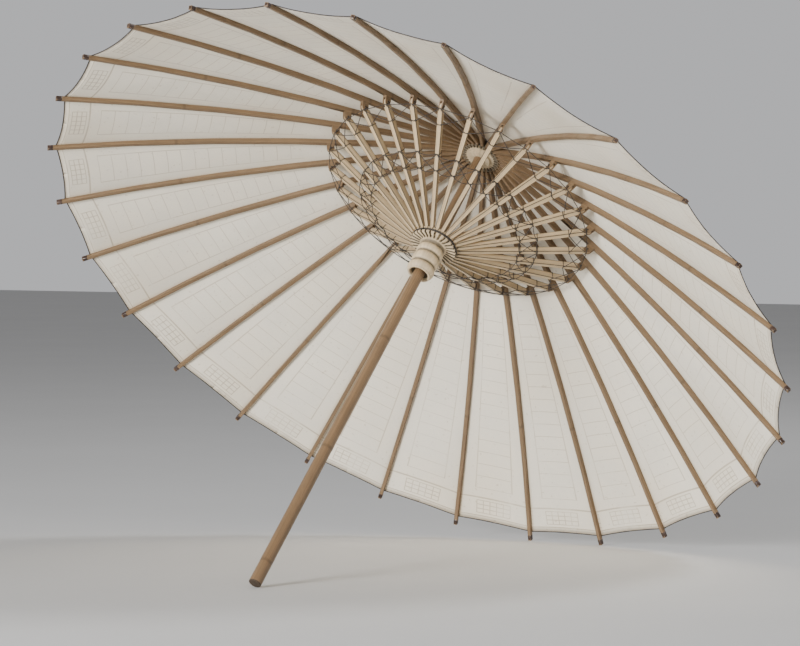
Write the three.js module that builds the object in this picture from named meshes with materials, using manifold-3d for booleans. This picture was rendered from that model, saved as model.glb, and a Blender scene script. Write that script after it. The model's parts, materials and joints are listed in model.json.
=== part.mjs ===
// Oil paper umbrella, open, resting on the foot of its shaft and on its two lowest rib tips.
// Millimetres, +Z up. The umbrella is built upright about the Z axis, foot at height zero, and
// its whole group is then leaned over until the foot and the two lowest tips share the floor.
// In each rib's own plane, X runs along a bar, Z is its upper side and Y is across it.

import * as THREE from 'three';
import { mergeVertices } from 'three/addons/utils/BufferGeometryUtils.js';
import Module from 'manifold-3d';

const wasm = await Module();
wasm.setup();

// Overall sizes
const RIB_COUNT = 28;
const CANOPY_RADIUS = 422; // shaft axis to rib tip
const TIP_DROP = 200; // rib pivots down to rib tips
const PIVOT_HEIGHT = 588; // foot of the shaft up to the rib pivots
const SHAFT_ABOVE_PIVOTS = 20;

// Folding frame
const PIVOT_RADIUS = 19; // pivot circle of the notch, and of the runner
const LINK_LENGTH = 146; // notch pivot to joint, and joint to runner pivot
const CLOSED_ANGLE = THREE.MathUtils.degToRad(2.5); // between link and shaft, folded
const SIDE_GAP = 0.4; // between neighbours, folded
const SWING_GAP = 0.4; // between a turning end and what it turns in

// Ribs
const RIB_BOW = 10; // height of the bow over the chord from pivot to tip
const RIB_WIDTH = 5;
const RIB_TIP_WIDTH = 3.8;
const RIB_DEPTH = 5.6;
const RIB_TIP_DEPTH = 4.4;
const RIB_STEPS = 5;
const LUG_RADIUS = 4;
const TONGUE_THICKNESS = 1.6;
const TONGUE_OVERLAP = 3; // how far a tongue runs on inside its bar
const SLOT_WIDTH = 2.2;

// Stretchers
const STRETCHER_DEPTH = 6.8;
const SHOULDER_GAP = 0.8; // stretcher shoulder to lug

// Shaft
const FOOT_RADIUS = 6.6;
const SHAFT_TOP_RADIUS = 5.6;
const SHAFT_EDGE = 0.8;
const ROUND_SEGMENTS = RIB_COUNT;

// Upper notch
const NOTCH_RADIUS = 21.5;
const NOTCH_TOP_RADIUS = 12;
const NOTCH_HUB_RADIUS = 12.5;
const NOTCH_TOOTH_DEPTH = 4.5; // teeth below the pivots
const NOTCH_WALL = 1.8; // over the slots
const NOTCH_CONE_HEIGHT = 8.5;
const NOTCH_HUB_DROP = 3;
const FIXED_GAP = 0.3; // between pieces that are glued or sewn together

// Runner
const RUNNER_RADIUS = 25.5;
const RUNNER_TOOTH_TOP = 3.3; // teeth above the pivots
const RUNNER_TOOTH_BELOW = 1.2; // teeth below the turning stretcher ends
const RUNNER_SLIDE_GAP = 0.9;
const COLLAR_RADIUS = 14.7;
const COLLAR_WAIST_RADIUS = 12.5;
const COLLAR_LENGTH = 39;
const COLLAR_RINGS = 3;
const MOUTH_RADIUS = 10.2;
const MOUTH_DEPTH = 10;

// Paper canopy
const PAPER_THICKNESS = 0.4;
const PAPER_GAP = 0.6; // rib back to paper
const PAPER_EDGE = 9; // rib tip past the paper's edge
const PAPER_SCALLOP = 4; // rim drawn in between two ribs
const PAPER_SAG = 3; // rim dropped between two ribs

// Derived frame: notch pivot, joint and tip lie on one chord, and the two links are equal
const PITCH = (2 * Math.PI) / RIB_COUNT;
const CHORD = Math.hypot(CANOPY_RADIUS - PIVOT_RADIUS, TIP_DROP);
const OPEN_ANGLE = Math.atan2(CANOPY_RADIUS - PIVOT_RADIUS, TIP_DROP);
const SLOPE = Math.PI / 2 - OPEN_ANGLE;
const RUNNER_HEIGHT = PIVOT_HEIGHT - 2 * LINK_LENGTH * Math.cos(OPEN_ANGLE);
const SHAFT_LENGTH = PIVOT_HEIGHT + SHAFT_ABOVE_PIVOTS;
const RIB_SWING = RIB_DEPTH / 2 + SWING_GAP;
const STRETCHER_SWING = STRETCHER_DEPTH / 2 + SWING_GAP;
const RIB_SHOULDER = Math.hypot(NOTCH_RADIUS - PIVOT_RADIUS, NOTCH_TOOTH_DEPTH) + SWING_GAP;
const INNER_SHOULDER = Math.hypot(RUNNER_RADIUS - PIVOT_RADIUS, RUNNER_TOOTH_TOP) + SWING_GAP;
const OUTER_SHOULDER = LINK_LENGTH - LUG_RADIUS - SHOULDER_GAP;

const mix = THREE.MathUtils.lerp;
const ribBow = (x) => RIB_BOW * (1 - (2 * x / CHORD - 1) ** 2);
const ribHalfDepth = (x) => mix(RIB_DEPTH, RIB_TIP_DEPTH, x / CHORD) / 2;
const shaftRadius = (height) => mix(FOOT_RADIUS, SHAFT_TOP_RADIUS, height / SHAFT_LENGTH);

// Half the width that a bar may have at a radius from the shaft when the frame is folded
const wedge = (radius) => radius * Math.tan(PITCH / 2) - SIDE_GAP / 2;
const ribFoldedRadius = (x, z) => PIVOT_RADIUS + x * Math.sin(CLOSED_ANGLE) + z;
const stretcherFoldedRadius = (x, z) => PIVOT_RADIUS + x * Math.sin(CLOSED_ANGLE) - z;
const ribStock = (x) => mix(RIB_WIDTH, RIB_TIP_WIDTH, x / CHORD) / 2;
const ribHalfWidth = (x, z) => Math.min(ribStock(x), wedge(ribFoldedRadius(x, z)));
const stretcherHalfWidth = (x, z) => wedge(stretcherFoldedRadius(x, z));

const finish = (color, roughness) => new THREE.MeshStandardMaterial({ color, roughness, metalness: 0 });
const bamboo = finish(0xc9a86a, 0.55);
const ribBamboo = finish(0xbf9a5c, 0.6);
const turnedWood = finish(0xdcc49a, 0.5);
const notchWood = finish(0xcdb084, 0.6);
const oiledPaper = finish(0xe9dcc0, 0.45);
oiledPaper.side = THREE.DoubleSide;

function solidOf(geometry) {
  const bare = geometry.clone();
  bare.deleteAttribute('normal');
  bare.deleteAttribute('uv');
  const merged = mergeVertices(bare, 1e-4);
  const vertProperties = new Float32Array(merged.attributes.position.array);
  const triVerts = new Uint32Array(merged.index.array);
  return new wasm.Manifold(new wasm.Mesh({ numProp: 3, vertProperties, triVerts }));
}

function geometryOf(solid) {
  const mesh = solid.getMesh();
  const geometry = new THREE.BufferGeometry();
  geometry.setAttribute('position', new THREE.BufferAttribute(mesh.vertProperties, 3));
  geometry.setIndex(new THREE.BufferAttribute(mesh.triVerts, 1));
  geometry.computeVertexNormals();
  return geometry;
}

// A four-cornered bar along X that follows a centre line, with its depth and width set at each step
function bar(from, to, steps, centre, halfDepth, halfWidth) {
  const corners = [[-1, -1], [1, -1], [1, 1], [-1, 1]];
  const section = new THREE.Shape(corners.map(([x, y]) => new THREE.Vector2(x, y)));
  const geometry = new THREE.ExtrudeGeometry(section, { depth: to - from, steps, bevelEnabled: false });
  const position = geometry.attributes.position;
  for (let i = 0; i < position.count; i++) {
    const x = from + position.getZ(i);
    const z = centre(x) + position.getY(i) * halfDepth(x);
    position.setXYZ(i, x, position.getX(i) * halfWidth(x, z), z);
  }
  return solidOf(geometry);
}

// A flat plate of the given outline in the X-Z plane
function plate(outline, thickness) {
  const geometry = new THREE.ExtrudeGeometry(outline, {
    depth: thickness,
    bevelEnabled: false,
    curveSegments: 3,
  });
  geometry.translate(0, 0, -thickness / 2);
  geometry.rotateX(Math.PI / 2);
  return solidOf(geometry);
}

function block(fromX, toX, fromZ, toZ, thickness) {
  const geometry = new THREE.BoxGeometry(toX - fromX, thickness, toZ - fromZ);
  geometry.translate((fromX + toX) / 2, 0, (fromZ + toZ) / 2);
  return solidOf(geometry);
}

// A round-ended plate that turns about the origin and runs along X
function tongue(length, radius) {
  const outline = new THREE.Shape();
  outline.absarc(0, 0, radius, Math.PI / 2, Math.PI * 1.5, false);
  outline.lineTo(length, -radius);
  outline.lineTo(length, radius);
  return plate(outline, TONGUE_THICKNESS);
}

function turned(profile, closesOnAxis) {
  const points = profile.map(([radius, height]) => new THREE.Vector2(radius, height));
  if (!closesOnAxis) {
    points.push(points[0].clone());
  }
  const geometry = new THREE.LatheGeometry(points, ROUND_SEGMENTS);
  geometry.rotateX(Math.PI / 2);
  return geometry;
}

function ribAngle(number) {
  return Math.PI / 2 + (number - 0.5) * PITCH;
}

// Takes the same radial cut out of a round piece at every rib
function slotted(geometry, cutter) {
  let solid = solidOf(geometry);
  for (let number = 1; number <= RIB_COUNT; number++) {
    const angle = THREE.MathUtils.radToDeg(ribAngle(number));
    solid = solid.subtract(cutter.rotate([0, 0, angle]));
  }
  return geometryOf(solid);
}

function makeShaft() {
  const edgeHeight = SHAFT_LENGTH - SHAFT_EDGE;
  return turned([
    [0, 0],
    [FOOT_RADIUS - SHAFT_EDGE, 0],
    [FOOT_RADIUS, SHAFT_EDGE],
    [shaftRadius(edgeHeight), edgeHeight],
    [SHAFT_TOP_RADIUS - SHAFT_EDGE, SHAFT_LENGTH],
    [0, SHAFT_LENGTH],
  ], true);
}

const NOTCH_BORE = shaftRadius(PIVOT_HEIGHT - NOTCH_TOOTH_DEPTH - NOTCH_HUB_DROP) + FIXED_GAP;
const NOTCH_SHOULDER = RIB_SWING + NOTCH_WALL;
const NOTCH_TOP = NOTCH_SHOULDER + NOTCH_CONE_HEIGHT;

function makeUpperNotch() {
  const body = turned([
    [NOTCH_BORE, -NOTCH_TOOTH_DEPTH - NOTCH_HUB_DROP],
    [NOTCH_HUB_RADIUS, -NOTCH_TOOTH_DEPTH - NOTCH_HUB_DROP],
    [NOTCH_HUB_RADIUS, -NOTCH_TOOTH_DEPTH],
    [NOTCH_RADIUS, -NOTCH_TOOTH_DEPTH],
    [NOTCH_RADIUS, NOTCH_SHOULDER],
    [NOTCH_TOP_RADIUS, NOTCH_TOP],
    [NOTCH_BORE, NOTCH_TOP],
  ], false);
  const beyond = NOTCH_RADIUS + RIB_DEPTH;
  const below = -NOTCH_TOOTH_DEPTH - RIB_DEPTH;
  return slotted(body, block(PIVOT_RADIUS - RIB_SWING, beyond, below, RIB_SWING, SLOT_WIDTH));
}

function makeRunner() {
  const bore = shaftRadius(0) + RUNNER_SLIDE_GAP;
  const flangeBottom = -STRETCHER_SWING - RUNNER_TOOTH_BELOW;
  const collarBottom = flangeBottom - COLLAR_LENGTH;
  const outline = [
    [bore, RUNNER_TOOTH_TOP],
    [bore, collarBottom + MOUTH_DEPTH],
    [MOUTH_RADIUS, collarBottom],
  ];
  const ringPoints = 5;
  for (let i = 0; i <= COLLAR_RINGS * ringPoints; i++) {
    const share = i / (COLLAR_RINGS * ringPoints);
    const swell = 0.5 - 0.5 * Math.cos(share * COLLAR_RINGS * 2 * Math.PI);
    outline.push([mix(COLLAR_WAIST_RADIUS, COLLAR_RADIUS, swell), mix(collarBottom, flangeBottom, share)]);
  }
  outline.push([RUNNER_RADIUS, flangeBottom], [RUNNER_RADIUS, RUNNER_TOOTH_TOP]);
  const beyond = RUNNER_RADIUS + STRETCHER_DEPTH;
  const above = RUNNER_TOOTH_TOP + STRETCHER_DEPTH;
  const below = flangeBottom - STRETCHER_DEPTH;
  const inner = PIVOT_RADIUS - STRETCHER_SWING;
  return slotted(turned(outline, false), block(inner, beyond, below, above, SLOT_WIDTH));
}

// Pivots about its origin in the notch, and carries a slotted lug for the stretcher
function makeRib() {
  const root = tongue(RIB_SHOULDER + TONGUE_OVERLAP, RIB_DEPTH / 2);
  const body = bar(RIB_SHOULDER, CHORD, RIB_STEPS, ribBow, ribHalfDepth, ribHalfWidth);
  const lugShape = new THREE.Shape();
  lugShape.moveTo(LINK_LENGTH + LUG_RADIUS, ribBow(LINK_LENGTH));
  lugShape.lineTo(LINK_LENGTH - LUG_RADIUS, ribBow(LINK_LENGTH));
  lugShape.absarc(LINK_LENGTH, 0, LUG_RADIUS, Math.PI, 2 * Math.PI, false);
  const lug = plate(lugShape, 2 * wedge(ribFoldedRadius(LINK_LENGTH, -LUG_RADIUS)));
  const slotEnd = LUG_RADIUS + SWING_GAP;
  const slot = block(
    LINK_LENGTH - slotEnd, LINK_LENGTH + slotEnd, -slotEnd, STRETCHER_SWING, SLOT_WIDTH);
  return geometryOf(body.add(root).add(lug).subtract(slot));
}

// Pivots about its origin in the runner, and about its far end in a rib's lug
function makeStretcher() {
  const straight = () => 0;
  const halfDepth = () => STRETCHER_DEPTH / 2;
  const body = bar(INNER_SHOULDER, OUTER_SHOULDER, 1, straight, halfDepth, stretcherHalfWidth);
  const inner = tongue(INNER_SHOULDER + TONGUE_OVERLAP, STRETCHER_DEPTH / 2);
  const outerReach = LINK_LENGTH - OUTER_SHOULDER + TONGUE_OVERLAP;
  const outer = tongue(outerReach, STRETCHER_DEPTH / 2).rotate([0, 0, 180]).translate([LINK_LENGTH, 0, 0]);
  return geometryOf(body.add(inner).add(outer));
}

// A point of the rib's plane as radius and height above the rib pivots
function inRibPlane(x, z) {
  const radius = PIVOT_RADIUS + x * Math.sin(OPEN_ANGLE) + z * Math.cos(OPEN_ANGLE);
  return [radius, z * Math.sin(OPEN_ANGLE) - x * Math.cos(OPEN_ANGLE)];
}

// Moves a line of points sideways, each along the mean of the directions across its neighbours
function shifted(points, distance) {
  return points.map(([radius, height], i) => {
    const before = points[Math.max(i - 1, 0)];
    const after = points[Math.min(i + 1, points.length - 1)];
    const run = Math.hypot(after[0] - before[0], after[1] - before[1]);
    const across = [(before[1] - after[1]) / run, (after[0] - before[0]) / run];
    return [radius + across[0] * distance, height + across[1] * distance];
  });
}

// One thin shell over all the ribs: creased along each rib, drawn in and down between two ribs
function makeCanopy() {
  const inside = [
    [NOTCH_BORE + PAPER_GAP, NOTCH_TOP + PAPER_GAP],
    [NOTCH_TOP_RADIUS + PAPER_GAP, NOTCH_TOP + PAPER_GAP],
    [NOTCH_RADIUS + PAPER_GAP, NOTCH_SHOULDER + PAPER_GAP],
  ];
  const last = CHORD - PAPER_EDGE;
  for (let i = 0; i <= RIB_STEPS; i++) {
    const x = Math.min(mix(RIB_SHOULDER, CHORD, i / RIB_STEPS), last);
    inside.push(inRibPlane(x, ribBow(x) + ribHalfDepth(x) + PAPER_GAP));
  }
  const outside = shifted(inside, PAPER_THICKNESS);
  const outline = [...inside, ...outside.reverse(), inside[0]];
  const points = outline.map(([radius, height]) => new THREE.Vector2(radius, height));
  const geometry = new THREE.LatheGeometry(points, 2 * RIB_COUNT);
  geometry.rotateX(Math.PI / 2);
  geometry.rotateZ(PITCH / 2);
  const position = geometry.attributes.position;
  for (let i = 0; i < position.count; i++) {
    const x = position.getX(i);
    const y = position.getY(i);
    const radius = Math.hypot(x, y);
    const halfPitches = Math.round((Math.atan2(y, x) - ribAngle(1)) / (PITCH / 2));
    if (halfPitches % 2 !== 0) {
      const reach = (radius / CANOPY_RADIUS) ** 2;
      const drawnIn = Math.cos(PITCH / 2) - (PAPER_SCALLOP / radius) * reach;
      position.setXYZ(i, x * drawnIn, y * drawnIn, position.getZ(i) - PAPER_SAG * reach);
    }
  }
  return geometry;
}

function named(name, geometry, material) {
  const mesh = new THREE.Mesh(geometry, material);
  mesh.name = name;
  return mesh;
}

function placed(mesh, radius, height, slope) {
  mesh.position.set(radius, 0, height);
  mesh.rotation.y = slope;
  return mesh;
}

const umbrella = new THREE.Group();

umbrella.add(named('shaft', makeShaft(), bamboo));

const upperNotch = named('upper_notch', makeUpperNotch(), notchWood);
upperNotch.position.z = PIVOT_HEIGHT;
umbrella.add(upperNotch);

const runner = named('runner', makeRunner(), turnedWood);
runner.position.z = RUNNER_HEIGHT;
umbrella.add(runner);

const canopy = named('canopy', makeCanopy(), oiledPaper);
canopy.position.z = PIVOT_HEIGHT;
umbrella.add(canopy);

const ribGeometry = makeRib();
const stretcherGeometry = makeStretcher();
for (let number = 1; number <= RIB_COUNT; number++) {
  const label = String(number).padStart(2, '0');
  const arm = new THREE.Group();
  arm.rotation.z = ribAngle(number);
  const rib = named(`rib_${label}`, ribGeometry, ribBamboo);
  arm.add(placed(rib, PIVOT_RADIUS, PIVOT_HEIGHT, SLOPE));
  const stretcher = named(`stretcher_${label}`, stretcherGeometry, bamboo);
  arm.add(placed(stretcher, PIVOT_RADIUS, RUNNER_HEIGHT, -SLOPE));
  umbrella.add(arm);
}

// Lean: the foot's lowest edge and the lower corners of the two lowest tips lie on one level
const [tipRadius, tipHeight] = inRibPlane(CHORD, -ribHalfDepth(CHORD));
const tipReach = tipRadius * Math.cos(PITCH / 2) + ribStock(CHORD) * Math.sin(PITCH / 2);
const lean = Math.atan2(tipReach - FOOT_RADIUS + SHAFT_EDGE, PIVOT_HEIGHT + tipHeight);
umbrella.rotation.x = lean - Math.PI / 2;

// Origin: on the floor, under the middle of the umbrella's box
const part = new THREE.Group();
part.add(umbrella);
part.updateMatrixWorld(true);
const box = new THREE.Box3().setFromObject(part, true);
umbrella.position.set(-(box.min.x + box.max.x) / 2, -(box.min.y + box.max.y) / 2, -box.min.z);

export default part;
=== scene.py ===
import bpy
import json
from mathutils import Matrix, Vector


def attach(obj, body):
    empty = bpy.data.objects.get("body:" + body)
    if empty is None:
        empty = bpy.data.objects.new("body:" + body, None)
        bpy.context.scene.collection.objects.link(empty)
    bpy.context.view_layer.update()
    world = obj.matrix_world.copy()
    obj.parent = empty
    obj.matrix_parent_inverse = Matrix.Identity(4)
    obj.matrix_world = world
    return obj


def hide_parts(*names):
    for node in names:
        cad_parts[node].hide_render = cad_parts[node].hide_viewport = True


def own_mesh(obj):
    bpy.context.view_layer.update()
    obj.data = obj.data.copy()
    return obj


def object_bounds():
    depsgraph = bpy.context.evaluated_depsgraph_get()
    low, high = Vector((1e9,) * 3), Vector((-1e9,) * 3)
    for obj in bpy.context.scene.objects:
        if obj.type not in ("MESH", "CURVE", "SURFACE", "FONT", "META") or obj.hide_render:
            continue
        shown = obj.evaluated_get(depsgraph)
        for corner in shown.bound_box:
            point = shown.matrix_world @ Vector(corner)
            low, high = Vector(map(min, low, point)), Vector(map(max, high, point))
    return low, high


bl_info = {
    "name": "Oil Paper Umbrella",
    "version": (1, 0, 0),
    "blender": (4, 5, 0),
    "location": "View3D > Sidebar > Umbrella",
    "description": "Builds the looks of an oil paper umbrella around its packed frame",
    "category": "Object",
}

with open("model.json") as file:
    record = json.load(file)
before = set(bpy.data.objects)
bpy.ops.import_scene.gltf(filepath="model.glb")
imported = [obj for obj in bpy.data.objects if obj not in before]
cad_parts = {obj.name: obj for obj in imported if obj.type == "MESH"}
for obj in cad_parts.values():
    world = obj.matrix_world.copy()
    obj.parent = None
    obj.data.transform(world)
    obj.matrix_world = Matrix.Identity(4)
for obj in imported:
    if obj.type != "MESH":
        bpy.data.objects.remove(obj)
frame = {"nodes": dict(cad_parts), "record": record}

import json
import math

import bmesh
import bpy
import numpy
from mathutils import Matrix, Vector, noise

MM = 0.001
CAD_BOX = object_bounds()
MERGE_DISTANCE = 0.002 * MM
TURNED_BEVEL = 0.25 * MM
LONG_EDGE = 20 * MM

# ---------------------------------------------------------------- the frame's own places

MOUNTS = {mount["name"]: mount for mount in frame["record"]["mounts"]}
CHILD_JOINT = {joint["child"]: joint for joint in frame["record"]["behaviour"]["joints"]}
LABELS = sorted(node[4:] for node in frame["nodes"] if node.startswith("rib_"))
PITCH = 2 * math.pi / len(LABELS)

FOOT = Vector(MOUNTS["shaft_foot"]["pos_m"])
SHAFT_TOP = Vector(MOUNTS["shaft_top"]["pos_m"])
UP_THE_SHAFT = (SHAFT_TOP - FOOT).normalized()
ACROSS_FLOOR = Vector((1, 0, 0))

# The upright frame has its origin at the foot of the shaft and its Z axis along it
UPRIGHT = Matrix((ACROSS_FLOOR, UP_THE_SHAFT.cross(ACROSS_FLOOR), UP_THE_SHAFT)).transposed().to_4x4()
UPRIGHT.translation = FOOT
TO_UPRIGHT = UPRIGHT.inverted()
# The same place with X up the shaft, for grain that runs along a turned piece
TO_TURNED = Matrix.Rotation(math.pi / 2, 4, "Y") @ TO_UPRIGHT


def node_points(node):
    shown = frame["nodes"][node]
    return [shown.matrix_world @ vertex.co for vertex in shown.data.vertices]


def radius_of(point):
    return math.hypot(point.x, point.y)


RIB_PIVOT = TO_UPRIGHT @ Vector(CHILD_JOINT["rib_01"]["pos_m"])
LUG_PIVOT = TO_UPRIGHT @ Vector(CHILD_JOINT["stretcher_01"]["pos_m"])
RUNNER_PIVOT = TO_UPRIGHT @ Vector(CHILD_JOINT["runner"]["pos_m"])
PIVOT_RADIUS = radius_of(RIB_PIVOT)
NOTCH_HEIGHT = RIB_PIVOT.z
RUNNER_HEIGHT = RUNNER_PIVOT.z
SHAFT_LENGTH = (SHAFT_TOP - FOOT).length
LINK_LENGTH = (LUG_PIVOT - RIB_PIVOT).length
SWING = math.radians(CHILD_JOINT["rib_01"]["range_deg"][1])
OPEN_ANGLE = math.atan2(radius_of(LUG_PIVOT) - PIVOT_RADIUS, NOTCH_HEIGHT - LUG_PIVOT.z)


def azimuth(label):
    pivot = TO_UPRIGHT @ Vector(CHILD_JOINT["rib_" + label]["pos_m"])
    return math.atan2(pivot.y, pivot.x)


def polar(angle, radius, height):
    return Vector((radius * math.cos(angle), radius * math.sin(angle), height))


def sideways(angle):
    """The direction across a bar that points out from the shaft at an angle."""
    return Vector((-math.sin(angle), math.cos(angle), 0))


def bar_frame(label, height, slope):
    """Where a bar's own X runs along it, Y across it and Z out of its upper side."""
    turned = Matrix.Rotation(azimuth(label), 4, "Z") @ Matrix.Translation((PIVOT_RADIUS, 0, height))
    return UPRIGHT @ turned @ Matrix.Rotation(slope, 4, "Y")


def rib_frame(label):
    return bar_frame(label, NOTCH_HEIGHT, math.pi / 2 - OPEN_ANGLE)


def stretcher_frame(label):
    return bar_frame(label, RUNNER_HEIGHT, OPEN_ANGLE - math.pi / 2)


def rib_outline():
    """The rib's length, and the height of its back as a curve along it, read from the first rib."""
    local = rib_frame(LABELS[0]).inverted()
    points = [local @ point for point in node_points("rib_" + LABELS[0])]
    length = max(point.x for point in points)
    past_lug = LINK_LENGTH * 1.1
    tongue_half = MM
    bar_start = min((round(p.x, 4) for p in points if p.x > 0 and abs(p.y) > tongue_half), default=0)
    stations = [bar_start, *sorted({round(p.x, 4) for p in points if p.x > past_lug})]
    backs = [max(p.z for p in points if abs(p.x - x) < MM) for x in stations]
    return length, numpy.polyfit(stations, backs, 2)


RIB_LENGTH, RIB_BACK = rib_outline()
RIB_TIP_WIDTH = 3.8 * MM
RIB_TIP_DEPTH = 4.4 * MM


def on_rib(angle, x, above):
    """A point over a rib's back, in the upright frame."""
    z = float(numpy.polyval(RIB_BACK, x)) + above
    radius = PIVOT_RADIUS + x * math.sin(OPEN_ANGLE) + z * math.cos(OPEN_ANGLE)
    return polar(angle, radius, NOTCH_HEIGHT - x * math.cos(OPEN_ANGLE) + z * math.sin(OPEN_ANGLE))


# ---------------------------------------------------------------- settings


class UmbrellaSettings(bpy.types.PropertyGroup):
    paper_gap: bpy.props.FloatProperty(
        name="Paper gap", description="Space between a rib's back and the paper",
        default=0.25 * MM, unit="LENGTH")
    paper_thickness: bpy.props.FloatProperty(
        name="Paper thickness", description="Thickness of the oiled paper",
        default=0.25 * MM, unit="LENGTH")
    paper_edge: bpy.props.FloatProperty(
        name="Paper edge", description="Rib tip past the paper's edge",
        default=9 * MM, unit="LENGTH")
    rim_scallop: bpy.props.FloatProperty(
        name="Rim scallop", description="How far the rim is drawn in between two ribs",
        default=2.8 * MM, unit="LENGTH")
    paper_sag: bpy.props.FloatProperty(
        name="Paper sag", description="How far the paper sinks between two ribs at the rim",
        default=3.2 * MM, unit="LENGTH")
    wrinkle: bpy.props.FloatProperty(
        name="Wrinkle", description="Height of the paper's slight unevenness",
        default=0.45 * MM, unit="LENGTH")
    thread_thickness: bpy.props.FloatProperty(
        name="Thread thickness", description="Diameter of the lacing thread",
        default=0.85 * MM, unit="LENGTH")
    lacing_drop: bpy.props.FloatProperty(
        name="Lacing drop", description="Length of stretcher that each ring of lacing crosses",
        default=19 * MM, unit="LENGTH")
    # On ribs and stretchers this rounded strip is also painted darker, as painted shade.
    bevel: bpy.props.FloatProperty(
        name="Rounded edge", description="Rounding of the bamboo's long edges",
        default=0.75 * MM, unit="LENGTH")
    paper_color: bpy.props.FloatVectorProperty(
        name="Paper", description="Colour of the oiled paper", subtype="COLOR", size=3,
        default=(0.85, 0.79, 0.665), min=0, max=1)
    print_color: bpy.props.FloatVectorProperty(
        name="Print", description="Colour of the lines printed on the paper", subtype="COLOR", size=3,
        default=(0.42, 0.33, 0.22), min=0, max=1)
    rib_color: bpy.props.FloatVectorProperty(
        name="Ribs", description="Colour of the split bamboo ribs", subtype="COLOR", size=3,
        default=(0.205, 0.128, 0.064), min=0, max=1)
    stretcher_color: bpy.props.FloatVectorProperty(
        name="Stretchers", description="Colour of the bamboo stretchers", subtype="COLOR", size=3,
        default=(0.55, 0.41, 0.24), min=0, max=1)
    shaft_color: bpy.props.FloatVectorProperty(
        name="Shaft", description="Colour of the bamboo shaft", subtype="COLOR", size=3,
        default=(0.22, 0.135, 0.068), min=0, max=1)
    wood_color: bpy.props.FloatVectorProperty(
        name="Turned wood", description="Colour of the turned runner", subtype="COLOR", size=3,
        default=(0.66, 0.52, 0.33), min=0, max=1)
    thread_color: bpy.props.FloatVectorProperty(
        name="Thread", description="Colour of the waxed thread", subtype="COLOR", size=3,
        default=(0.024, 0.019, 0.016), min=0, max=1)
    lacquer_color: bpy.props.FloatVectorProperty(
        name="Lacquer", description="Colour of the lacquered cap and rib tips", subtype="COLOR", size=3,
        default=(0.05, 0.03, 0.022), min=0, max=1)


def settings():
    return bpy.context.scene.umbrella


# ---------------------------------------------------------------- shader building


class Graph:
    """Adds nodes to one tree and joins them."""

    def __init__(self, tree):
        self.tree = tree

    def node(self, kind, **choices):
        made = self.tree.nodes.new(kind)
        for name, value in choices.items():
            setattr(made, name, value)
        return made

    def feed(self, socket, value):
        if isinstance(value, bpy.types.NodeSocket):
            self.tree.links.new(value, socket)
        else:
            socket.default_value = value

    def math(self, operation, *values):
        made = self.node("ShaderNodeMath", operation=operation)
        for socket, value in zip(made.inputs, values):
            self.feed(socket, value)
        return made.outputs[0]

    def vector(self, operation, *values):
        made = self.node("ShaderNodeVectorMath", operation=operation)
        for socket, value in zip(made.inputs, values):
            self.feed(socket, value)
        return made.outputs["Value" if operation == "LENGTH" else "Vector"]

    def noise(self, vector, scale, detail=3.0, roughness=0.55):
        made = self.node("ShaderNodeTexNoise")
        self.feed(made.inputs["Vector"], vector)
        self.feed(made.inputs["Scale"], scale)
        made.inputs["Detail"].default_value = detail
        made.inputs["Roughness"].default_value = roughness
        return made.outputs["Fac"]

    def blend(self, factor, first, second):
        """Mixes two colours; the sockets go by number because several share a name."""
        made = self.node("ShaderNodeMix", data_type="RGBA")
        self.feed(made.inputs[0], factor)
        self.feed(made.inputs[6], first)
        self.feed(made.inputs[7], second)
        return made.outputs[2]

    def ramp(self, value, low, high, to_low=0.0, to_high=1.0):
        made = self.node("ShaderNodeMapRange", interpolation_type="SMOOTHSTEP")
        for socket, entry in zip(made.inputs, (value, low, high, to_low, to_high)):
            self.feed(socket, entry)
        return made.outputs[0]

    def line(self, distance, half_width):
        """1 on the line where distance is 0, falling to 0 at half_width."""
        return self.ramp(self.math("ABSOLUTE", distance), half_width * 0.35, half_width, 1.0, 0.0)

    def repeated(self, value, spacing):
        """Distance to the nearest multiple of spacing."""
        return self.math("PINGPONG", value, spacing)


def new_group(name, inputs, outputs):
    """An empty node group with its sockets, ready to be filled."""
    tree = bpy.data.node_groups.new(name, "ShaderNodeTree")
    for label, kind, default in inputs:
        socket = tree.interface.new_socket(label, in_out="INPUT", socket_type=kind)
        if default is not None:
            socket.default_value = default
    for label in outputs:
        tree.interface.new_socket(label, in_out="OUTPUT", socket_type="NodeSocketFloat")
    graph = Graph(tree)
    entry = graph.node("NodeGroupInput").outputs
    leave = graph.node("NodeGroupOutput").inputs
    return tree, graph, entry, leave


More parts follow.
